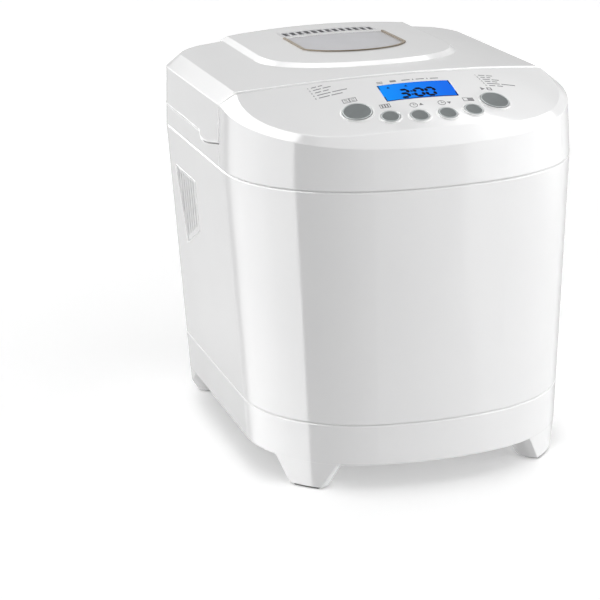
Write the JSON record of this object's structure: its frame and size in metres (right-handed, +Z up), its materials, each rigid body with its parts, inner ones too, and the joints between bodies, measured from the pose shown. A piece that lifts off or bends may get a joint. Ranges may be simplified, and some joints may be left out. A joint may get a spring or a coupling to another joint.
{
  "type": "bread machine",
  "caption": "Domestic bread machine with a bowed white housing, hinged windowed lid, sloping button panel, baking chamber, lift-out pan and belt-driven kneading paddle.",
  "frame": {"origin": "on the ground under the middle of the housing", "axes": "+X to the user's right, +Y to the rear, +Z up; the control panel faces -Y"},
  "size_m": [0.27, 0.324, 0.3046],
  "materials": {
    "white_plastic": "gloss",
    "grey_plastic": "satin silver-grey",
    "black_rubber": "matte",
    "red_silicone": "matte",
    "window": "smoked",
    "bronze": "satin bronze",
    "display": "lit blue",
    "board_green": "matte",
    "black_plastic": "matte",
    "sheet_steel": "brushed",
    "steel": "turned",
    "cast_aluminium": "cast",
    "coated_aluminium": "non-stick coated",
    "bronze_bush": "sintered",
    "ceramic": "ceramic",
    "motor_paint": "laminated steel"
  },
  "bodies": {
    "housing": {"baking_chamber": "sheet_steel", "base_tray": "white_plastic", "bearing_housing": "cast_aluminium", "board_screws": "steel", "chassis_plate": "sheet_steel", "control_board": "board_green", "cord_gland": "black_rubber", "display_lens": "display", "display_module": "black_plastic", "drive_belt": "black_rubber", "foot_pads": "black_rubber", "heat_shield": "sheet_steel", "heater_clips": "sheet_steel", "heater_terminals": "ceramic", "heating_element": "steel", "hinge_pins": "steel", "housing_screws": "steel", "left_vent_grille": "white_plastic", "main_shell": "white_plastic", "motor_body": "motor_paint", "motor_mounts": "black_rubber", "pan_clips": "sheet_steel", "power_board": "board_green", "power_board_parts": "black_plastic", "right_vent_grille": "white_plastic", "run_capacitor": "black_plastic", "shaft_bushes": "bronze_bush", "tact_switches": "black_plastic", "temperature_sensor": "steel", "thermal_fuse": "black_plastic", "top_frame": "white_plastic"},
    "lid": {"lid_shell": "white_plastic", "lid_liner": "sheet_steel", "window_glass": "window", "window_trim": "bronze", "lid_vent_grille": "white_plastic", "lid_seal": "red_silicone", "lid_screws": "steel"},
    "pan": {"bread_pan": "coated_aluminium", "pan_base": "cast_aluminium", "pan_bearing": "bronze_bush", "pan_seal": "red_silicone"},
    "handle": {"pan_handle": "steel"},
    "paddle": {"pan_shaft": "steel", "kneading_paddle": "coated_aluminium", "wing_coupler": "cast_aluminium"},
    "drive": {"drive_shaft": "steel", "large_pulley": "black_plastic", "drive_coupling": "cast_aluminium"},
    "rotor": {"motor_shaft": "steel", "motor_pulley": "black_plastic"},
    "start_button": {"start_button": "grey_plastic"},
    "menu_button": {"menu_button": "grey_plastic"},
    "colour_button": {"colour_button": "grey_plastic"},
    "size_button": {"size_button": "grey_plastic"},
    "time_up_button": {"time_up_button": "grey_plastic"},
    "time_down_button": {"time_down_button": "grey_plastic"}
  },
  "joints": [
    {"name": "lid_hinge", "type": "hinge", "parent": "housing", "child": "lid", "pos_m": [0, 0.156, 0.2525], "axis": [-1, 0, 0], "range_deg": [0, 92]},
    {"name": "pan_lift", "type": "slide", "parent": "housing", "child": "pan", "axis": [0, 0, 1], "range_m": [0, 0.026]},
    {"name": "handle_swing", "type": "hinge", "parent": "pan", "child": "handle", "pos_m": [0, 0.044, 0.206], "axis": [1, 0, 0], "range_deg": [0, 18]},
    {"name": "drive_spin", "type": "hinge", "parent": "housing", "child": "drive", "pos_m": [0, 0.044, 0.052], "axis": [0, 0, 1], "continuous": true},
    {"name": "paddle_spin", "type": "hinge", "parent": "pan", "child": "paddle", "pos_m": [0, 0.044, 0.084], "axis": [0, 0, 1], "continuous": true},
    {"name": "motor_spin", "type": "hinge", "parent": "housing", "child": "rotor", "pos_m": [0, -0.11, 0.052], "axis": [0, 0, 1], "continuous": true},
    {"name": "start_button_press", "type": "slide", "parent": "housing", "child": "start_button", "axis": [0.1125, 0.3376, -0.9345], "range_m": [0, 0.0012], "stiffness_N_per_m": 400},
    {"name": "menu_button_press", "type": "slide", "parent": "housing", "child": "menu_button", "axis": [-0.1222, 0.3376, -0.9333], "range_m": [0, 0.0012], "stiffness_N_per_m": 400},
    {"name": "colour_button_press", "type": "slide", "parent": "housing", "child": "colour_button", "axis": [0.0658, 0.3611, -0.9302], "range_m": [0, 0.0012], "stiffness_N_per_m": 400},
    {"name": "size_button_press", "type": "slide", "parent": "housing", "child": "size_button", "axis": [0.0191, 0.3676, -0.9298], "range_m": [0, 0.0012], "stiffness_N_per_m": 400},
    {"name": "time_up_button_press", "type": "slide", "parent": "housing", "child": "time_up_button", "axis": [-0.0288, 0.3676, -0.9295], "range_m": [0, 0.0012], "stiffness_N_per_m": 400},
    {"name": "time_down_button_press", "type": "slide", "parent": "housing", "child": "time_down_button", "axis": [-0.0756, 0.3611, -0.9295], "range_m": [0, 0.0012], "stiffness_N_per_m": 400}
  ],
  "couplings": [
    {"joint": "paddle_spin", "follows": "drive_spin", "ratio": 1},
    {"joint": "motor_spin", "follows": "drive_spin", "ratio": 5}
  ]
}
